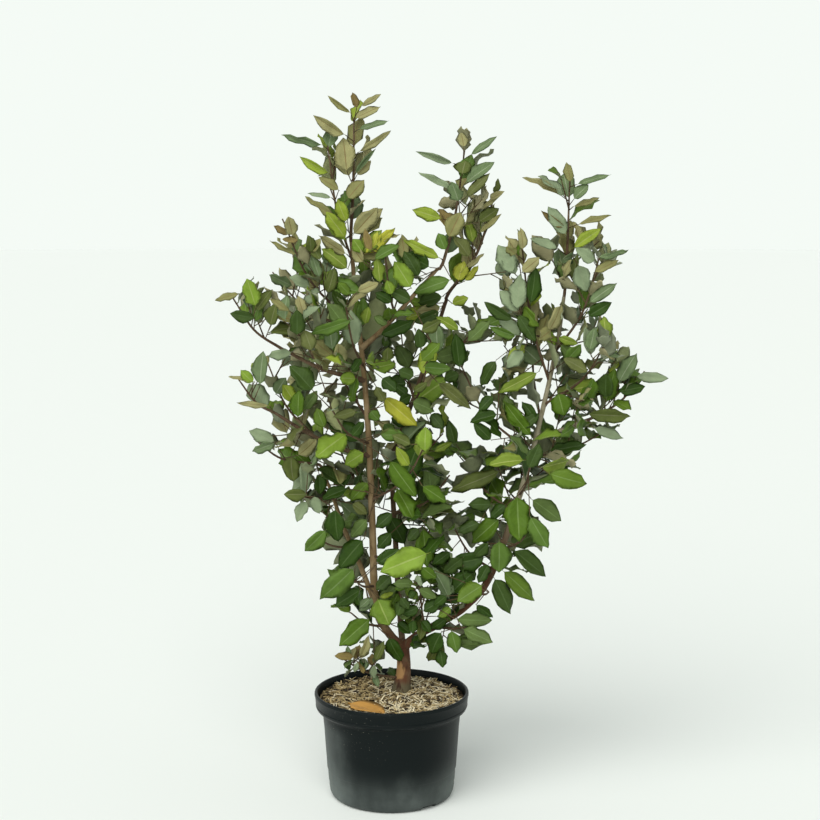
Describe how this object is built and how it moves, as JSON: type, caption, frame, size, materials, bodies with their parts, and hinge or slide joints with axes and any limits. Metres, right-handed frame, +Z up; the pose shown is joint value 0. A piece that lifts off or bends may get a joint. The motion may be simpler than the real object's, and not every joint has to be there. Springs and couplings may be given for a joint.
{
  "type": "potted ebbinge silverberry",
  "caption": "Upright evergreen shrub on forked stems, with leathery wavy leaves that are silvery beneath, growing in a round black nursery pot of mulched compost.",
  "frame": {"origin": "middle of the pot's flat underside, on the surface that it stands on", "axes": "+Z up along the pot's axis; +X along the wider side of the crown, to the right in the picture's view; +Y away from that view"},
  "size_m": [0.6399, 0.3826, 0.9754],
  "materials": {
    "pot": "black moulded plastic, satin, with dusty scuffs",
    "compost": "pale dry wood-fibre mulch over dark compost",
    "bark": "grey-brown bark, smooth and finely cracked, red-brown on young wood",
    "green_leaf": "satin mid and deep green leaf with a paler midrib",
    "khaki_leaf": "matt khaki and bronze-olive young leaf, scaly beneath",
    "silver_leaf": "matt silvery green leaf"
  },
  "bodies": {
    "root": {"base_shoot": "green_leaf", "centre_foot_foliage": "green_leaf", "centre_front_foliage": "green_leaf", "centre_inner_foliage": "green_leaf", "centre_low_foliage": "green_leaf", "centre_rise_foliage": "green_leaf", "compost": "compost", "far_right_bough": "bark", "far_right_foliage": "green_leaf", "foot_left_foliage": "green_leaf", "foot_right_foliage": "green_leaf", "fork_foliage": "green_leaf", "left_back_foliage": "green_leaf", "left_front_foliage": "green_leaf", "left_inner_foliage": "khaki_leaf", "left_leader": "bark", "left_low_back_foliage": "green_leaf", "low_back_foliage": "green_leaf", "low_drop_foliage": "green_leaf", "low_foot_foliage": "green_leaf", "low_left_bough": "bark", "low_left_foliage": "green_leaf", "low_middle_foliage": "green_leaf", "low_side_foliage": "green_leaf", "lower_left_bough": "bark", "lower_left_foliage": "green_leaf", "lower_rise_foliage": "green_leaf", "mid_front_foliage": "green_leaf", "mid_left_bough": "bark", "mid_left_foliage": "green_leaf", "middle_back_foliage": "green_leaf", "middle_front_foliage": "green_leaf", "middle_inner_foliage": "green_leaf", "middle_right_foliage": "green_leaf", "middle_stem": "bark", "middle_top_foliage": "khaki_leaf", "pot": "pot", "right_back_foliage": "silver_leaf", "right_drop_foliage": "green_leaf", "right_foot_foliage": "green_leaf", "right_front_foliage": "green_leaf", "right_hollow_foliage": "green_leaf", "right_inner_foliage": "silver_leaf", "right_inside_foliage": "green_leaf", "right_left_foliage": "green_leaf", "right_low_foliage": "green_leaf", "right_mid_foliage": "silver_leaf", "right_outer_foliage": "silver_leaf", "right_rear_foliage": "green_leaf", "right_stem": "bark", "right_top_foliage": "silver_leaf", "second_peak_bough": "bark", "second_peak_foliage": "khaki_leaf", "top_foliage": "khaki_leaf", "top_left_foliage": "khaki_leaf", "trunk": "bark", "upper_back_foliage": "green_leaf", "upper_front_foliage": "green_leaf", "upper_left_foliage": "khaki_leaf", "upper_side_foliage": "khaki_leaf"}
  },
  "joints": []
}
